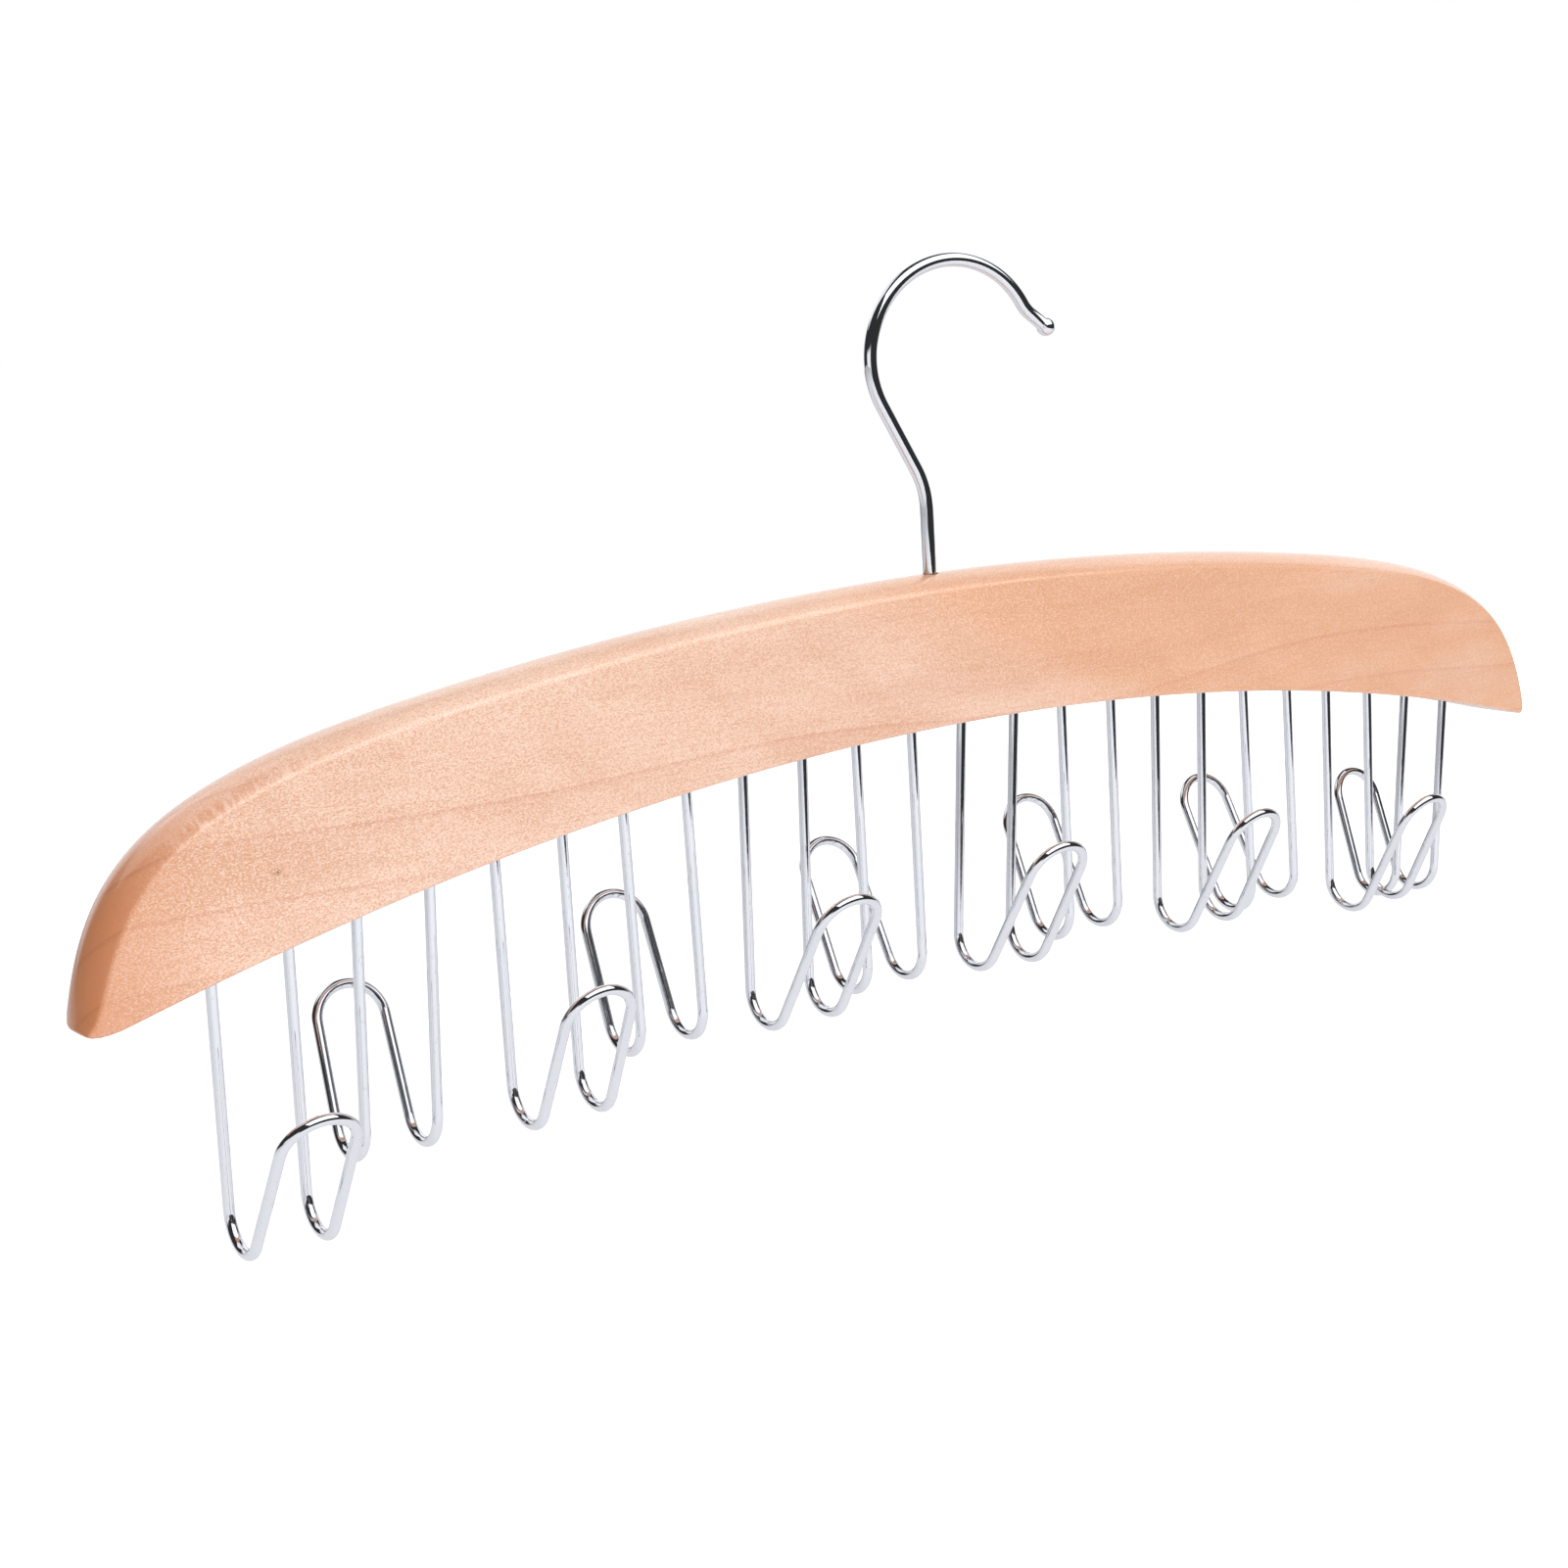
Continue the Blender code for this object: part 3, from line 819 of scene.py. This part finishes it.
@dataclass
class Swivel:
    """The swivel: the hook's bent wire with its ball, and the washer and nut that it turns on."""

    shape: BarShape
    chrome: bpy.types.Material
    zinc: bpy.types.Material
    wire: float = 3.4 * MM
    sides: int = 32
    radius: float = 23 * MM
    offset: float = 9.5 * MM
    turn: float = math.radians(-10)
    neck_angle: float = math.radians(28)
    neck_radius: float = 22 * MM
    tip_angle: float = math.radians(30)
    flare_radius: float = 9 * MM
    flare_angle: float = math.radians(22)
    tip_length: float = 5.5 * MM
    ball: float = 4.6 * MM
    bow_steps: int = 96
    neck_steps: int = 20
    flare_steps: int = 14
    ball_steps: int = 12
    shank_play: float = 0.35 * MM
    thread_pitch: float = 0.6 * MM
    thread_turns: int = 9
    thread_root: float = 0.90
    washer_width: float = 10 * MM
    washer_height: float = 1 * MM
    washer_play: float = 0.5 * MM
    washer_round: float = 0.12 * MM
    nut_width: float = 6.5 * MM
    nut_height: float = 3 * MM
    nut_chamfer: float = 0.35 * MM
    nut_face: float = 0.95
    nut_round: float = 0.08 * MM
    bore_sides: int = 48
    disc_sides: int = 64
    wire_smooth: float = 40
    plate_smooth: float = 30
    recess: float = 1.5 * MM
    stub: float = 1 * MM
    gap: float = 0.3 * MM
    cut_run: float = 6 * MM

    def nut_bottom(self) -> float:
        """Height of the nut's lower face."""
        return self.shape.underside(0) + self.recess + self.stub

    def washer_bottom(self) -> float:
        """Height of the washer's lower face."""
        return self.nut_bottom() + self.nut_height + self.gap

    def cylinder(self, name: str, radius: float, bottom: float, top: float, sides: int) -> bpy.types.Object:
        """Adds an upright cylinder or prism on the shank's axis.

        Args:
            name: the object's name.
            radius: its radius, or a prism's over its corners.
            bottom: the height of its lower face.
            top: the height of its upper face.
            sides: the faces round it.

        Returns:
            The new object.
        """
        Bench.clear()
        at = (*self.shape.middle[:2], (bottom + top) / 2)
        bpy.ops.mesh.primitive_cylinder_add(vertices=sides, radius=radius, depth=top - bottom, location=at)
        return Bench.named(name)

    def bores(self) -> list[bpy.types.Object]:
        """Makes the cutters for the shank's bore and for the sink that holds washer and nut."""
        low, high = self.shape.underside(0) - self.cut_run, self.shape.face_top + self.cut_run
        washer_top = self.washer_bottom() + self.washer_height + self.gap
        sink = self.washer_width / 2 + self.washer_play
        return [self.cylinder("shank_bore", self.wire / 2 + self.shank_play, low, high, self.bore_sides),
                self.cylinder("swivel_sink", sink, low, washer_top, self.disc_sides)]

    def bend_hook(self) -> bpy.types.Object:
        """Bends the hook: thread, shank, neck, bow, flared tip and ball.

        Returns:
            The hook, in place.
        """
        middle = Vector((self.offset, 0, self.wire / 2 - self.radius))
        hook = BentWire("hook_wire", self.wire, self.sides, (0, 0, self.nut_bottom() - self.stub), (0, 0, 1))
        for _ in range(self.thread_turns):
            for share in (self.thread_root, 1 / self.thread_root):
                hook.straight(self.thread_pitch / 2)
                hook.resize(share)
        start = math.pi + self.neck_angle
        bow_start = middle + self.radius * Vector((math.cos(start), 0, math.sin(start)))
        corner = bow_start.z + bow_start.x / math.tan(self.neck_angle)
        neck_bottom = corner - self.neck_radius * math.tan(self.neck_angle / 2)
        hook.straight(neck_bottom - hook.tip.z)
        hook.bend((-self.neck_radius, 0, neck_bottom), (0, -1, 0), self.neck_angle, self.neck_steps)
        hook.move(bow_start - hook.tip)
        hook.bend(middle, (0, 1, 0), start - self.tip_angle, self.bow_steps)
        out = Vector((math.cos(self.tip_angle), 0, math.sin(self.tip_angle)))
        hook.bend(hook.tip + self.flare_radius * out, (0, -1, 0), self.flare_angle, self.flare_steps)
        self.form_ball(hook)
        obj = hook.finish()
        obj.matrix_world = Matrix.Translation(self.shape.middle) @ Matrix.Rotation(self.turn, 4, "Z")
        Bench.settle(obj)
        return obj

    def form_ball(self, hook: BentWire) -> None:
        """Forms the ball on the wire's tip, ring by ring, and closes it at its pole."""
        ball, wire = self.ball / 2, self.wire / 2
        first = math.pi - math.asin(wire / ball)
        angles = [first * (1 - step / self.ball_steps) for step in range(self.ball_steps)]
        hook.straight(self.tip_length + ball * math.cos(first))
        for before, after in zip(angles, angles[1:]):
            hook.straight(ball * (math.cos(after) - math.cos(before)))
            hook.resize(math.sin(after) / math.sin(before))
        hook.straight(ball * (1 - math.cos(angles[-1])))
        hook.close_pole()

    def turn_washer(self) -> bpy.types.Object:
        """Turns the washer: a disc with softened rims and a bore."""
        low = self.washer_bottom()
        high = low + self.washer_height
        washer = self.cylinder("steel_washer", self.washer_width / 2, low, high, self.disc_sides)
        Bench.bore(washer, [self.cylinder("washer_bore", self.wire / 2 + self.gap, low - self.cut_run,
                                          low + self.cut_run, self.bore_sides)])
        Bench.modify(washer, "BEVEL", width=self.washer_round, segments=3, limit_method="ANGLE")
        return washer

    def mill_nut(self) -> bpy.types.Object:
        """Mills the nut: a hexagon whose corners are turned down at both faces, with a chamfered bore."""
        low, high = self.nut_bottom(), self.nut_bottom() + self.nut_height
        corner = self.nut_width / 2 / math.cos(math.pi / 6)
        nut = self.cylinder("steel_nut", corner, low, high, 6)
        chamfer = self.nut_chamfer
        turned = self.cylinder("turned_blank", corner, low + chamfer, high - chamfer, self.disc_sides)
        share = self.nut_face * self.nut_width / 2 / corner
        bpy.ops.object.mode_set(mode="EDIT")
        for up in (1, -1):
            Bench.pick_faces(turned, lambda face: face.normal.z * up > 0.9)
            bpy.ops.mesh.extrude_region_move(TRANSFORM_OT_translate={"value": (0, 0, up * chamfer)})
            bpy.ops.transform.resize(value=(share, share, 1), center_override=(*self.shape.middle[:2], high))
        bpy.ops.object.mode_set(mode="OBJECT")
        Bench.bore(nut, [turned], "INTERSECT")
        Bench.bore(nut, [self.cylinder("nut_bore", self.wire / 2 + self.gap, low - self.cut_run,
                                       high + self.cut_run, self.bore_sides)])
        Bench.modify(nut, "BEVEL", width=self.nut_round, segments=2, limit_method="ANGLE")
        return nut

    def build(self) -> None:
        """Builds and dresses hook, washer and nut."""
        hook = self.bend_hook()
        Bench.shade(hook, self.wire_smooth)
        Bench.dress(hook, self.chrome, Slot.CHROME, Body.HOOK, "swivel_hook")
        for obj, node in ((self.turn_washer(), "swivel_washer"), (self.mill_nut(), "swivel_nut")):
            Bench.settle(obj)
            Bench.shade(obj, self.plate_smooth)
            Bench.dress(obj, self.zinc, Slot.ZINC, Body.HOOK, node)


@dataclass(frozen=True)
class Lamp:
    """One soft lamp: where it hangs, its width and height in metres, its watts, and whether metal shows it."""

    name: str
    place: Point
    size: tuple[float, float]
    power: float
    mirrored: bool = True


@dataclass
class Studio:
    """The photograph's camera, a strip of white paper on the floor, soft lamps and the room round them.

    The camera's aim, focal length and image are in the photograph's pixels. A Span says where a glow starts
    and where it is full, and then how strong it is there.
    """

    azimuth: float = math.radians(-34.8566)
    elevation: float = math.radians(11.5332)
    roll: float = math.radians(-3.4483)
    distance: float = 576.541 * MM
    aim: tuple[float, float] = (953.0956, 677.9771)
    focal: float = 2365.445
    image: float = 1601
    sensor: float = 36
    target: Point = (-9.356 * MM, 1.650 * MM, -96.4 * MM)
    floor_height: float = -300 * MM
    paper: str = "F2F2F4"
    paper_near: float = 720 * MM
    paper_far: float = 3200 * MM
    paper_length: float = 6.0
    paper_turn: float = math.radians(28.1)
    paper_glow: Span = (0.35, 1.5, 0.50, 0.88)
    paper_mirror_glow: Span = (-1.0, 0.3, 0.04, 0.20)
    camera_way: Point = (-0.5715, -0.8206, 0.0)
    paper_way: Point = (-0.8818, -0.4717, 0.0)
    wall_side: Span = (-0.50, -0.66)
    wall_top: Span = (0.62, 0.76, 1, 0)
    end_side: Span = (0.86, 0.91)
    end_top: Span = (0.08, 0.16, 1, 0)
    wall_level: float = 1.1
    room_level: float = 0.035
    fill: float = 0.38
    lamps: tuple[Lamp, ...] = (Lamp("softbox", (0.16, -0.73, 0.96), (2.0, 1.5), 15),
                               Lamp("back_softbox", (-0.45, 0.70, 0.75), (0.8, 0.8), 2.1),
                               Lamp("front_fill", (-0.2, -1.6, 0.1), (1.0, 1.0), 5.9, mirrored=False))

    def camera(self) -> None:
        """Sets up the camera at the photograph's place and angle."""
        a, e, r = self.azimuth, self.elevation, self.roll
        back = Vector((math.sin(a) * math.cos(e), -math.cos(a) * math.cos(e), math.sin(e)))
        right = Vector((math.cos(a), math.sin(a), 0))
        up = back.cross(right)
        across = math.cos(r) * right + math.sin(r) * up
        rise = -math.sin(r) * right + math.cos(r) * up
        half = (self.image - 1) / 2
        aside = (self.aim[0] - half) / self.focal * self.distance
        above = -(self.aim[1] - half) / self.focal * self.distance
        place = Vector(self.target) - aside * across - above * rise + self.distance * back
        data = bpy.data.cameras.new("camera")
        data.sensor_width = self.sensor
        data.lens = self.focal / self.image * self.sensor
        data.clip_start = 0.01
        data.dof.use_dof = False
        obj = bpy.data.objects.new("camera", data)
        bpy.context.scene.collection.objects.link(obj)
        obj.matrix_world = Matrix.Translation(place) @ Matrix((across, rise, back)).transposed().to_4x4()
        bpy.context.scene.camera = obj

    def floor(self) -> None:
        """Lays the floor: a strip of white paper that keeps a soft shadow."""
        Bench.clear()
        bpy.ops.mesh.primitive_plane_add(size=1)
        paper = Bench.named("floor")
        turn = Matrix.Rotation(self.paper_turn, 4, "Z")
        shift = turn @ Vector((0, (self.paper_far - self.paper_near) / 2, 0))
        size = Matrix.Diagonal((self.paper_length, self.paper_near + self.paper_far, 1, 1))
        paper.matrix_world = Matrix.Translation((shift.x, shift.y, self.floor_height)) @ turn @ size
        bpy.ops.object.transform_apply(location=True, rotation=True, scale=True)
        finish = Finish("white_paper")
        finish.set(Base_Color=linear(self.paper), Roughness=0.9, Specular_IOR_Level=0.1)
        path = finish.add("LightPath").node.outputs
        away = finish.add("VectorMath", finish.coords, operation="LENGTH")
        even = finish.add("MapRange", away, *self.paper_glow)
        seen = finish.add("Math", path["Is Camera Ray"], path["Is Transmission Ray"], operation="MAXIMUM")
        front = finish.add("VectorMath", finish.coords, self.camera_way, operation="DOT_PRODUCT")
        shade = finish.add("MapRange", front, *self.paper_mirror_glow)
        shown = finish.add("Math", path["Is Glossy Ray"], shade, operation="MULTIPLY")
        strength = finish.add("Math", finish.add("Math", seen, even, operation="MULTIPLY"), shown, operation="MAXIMUM")
        glow = finish.add("Emission", linear("FFFFFF"), strength)
        both = finish.add("AddShader", finish.shader.outputs[0], glow)
        finish.tree.links.new(both, finish.tree.nodes["Material Output"].inputs["Surface"])
        paper.data.materials.append(finish.material)

    def hang(self, lamp: Lamp) -> None:
        """Hangs one soft lamp so that it faces the hanger."""
        data = bpy.data.lights.new(lamp.name, "AREA")
        data.shape = "RECTANGLE"
        data.size, data.size_y = lamp.size
        data.energy = lamp.power
        obj = bpy.data.objects.new(lamp.name, data)
        bpy.context.scene.collection.objects.link(obj)
        facing = (Vector(lamp.place) - Vector(self.target)).to_track_quat("Z", "Y")
        obj.matrix_world = Matrix.Translation(lamp.place) @ facing.to_matrix().to_4x4()
        obj.visible_camera = False
        obj.visible_glossy = lamp.mirrored

    def world(self) -> None:
        """Fills the room: white to the camera, and a plain soft level that lights the hanger.

        Metal and lacquer show a pale wall behind the hanger and a dark room elsewhere.
        """
        world = bpy.data.worlds.new("studio")
        world.use_nodes = True
        bpy.context.scene.world = world
        room = Nodes(world.node_tree)
        path = room.add("LightPath").node.outputs
        way = room.add("TexCoord")
        height = room.add("SeparateXYZ", way).node.outputs[2]
        toward = room.add("VectorMath", way, self.camera_way, operation="DOT_PRODUCT")
        wall = room.add("Math", room.add("MapRange", toward, *self.wall_side),
                        room.add("MapRange", height, *self.wall_top), operation="MULTIPLY")
        along = room.add("VectorMath", way, self.paper_way, operation="DOT_PRODUCT")
        end = room.add("Math", room.add("MapRange", along, *self.end_side),
                       room.add("MapRange", height, *self.end_top), operation="MULTIPLY")
        pale = room.add("Math", wall, end, operation="MAXIMUM")
        mirrored = room.add("Mix", pale, self.room_level, self.wall_level, data_type="FLOAT")
        lit = room.add("Mix", path["Is Glossy Ray"], self.fill, mirrored, data_type="FLOAT")
        seen = room.add("Math", path["Is Camera Ray"], path["Is Transmission Ray"], operation="MAXIMUM")
        background = room.tree.nodes["Background"]
        background.inputs["Color"].default_value = linear("FFFFFF")
        strength = room.add("Mix", seen, lit, 1.0, data_type="FLOAT")
        room.tree.links.new(strength, background.inputs["Strength"])

    def build(self) -> None:
        """Sets up the whole studio."""
        self.camera()
        self.floor()
        for lamp in self.lamps:
            self.hang(lamp)
        self.world()
        bpy.context.scene.view_settings.view_transform = "Standard"


def main() -> None:
    """Builds the hanger, its finishes and the studio."""
    logging.basicConfig(level=logging.INFO, format="%(name)s: %(message)s")
    wood, chrome, zinc = (finish.build() for finish in (LacqueredMaple(), BrightChrome(), ZincPlate()))
    shape = BarShape()
    swivel = Swivel(shape, chrome, zinc)
    hooks = BeltHooks(shape, chrome)
    HangerBar(shape, wood).build(swivel.bores() + hooks.holes())
    hooks.build()
    swivel.build()
    Studio().build()


if __name__ == "__main__":
    main()
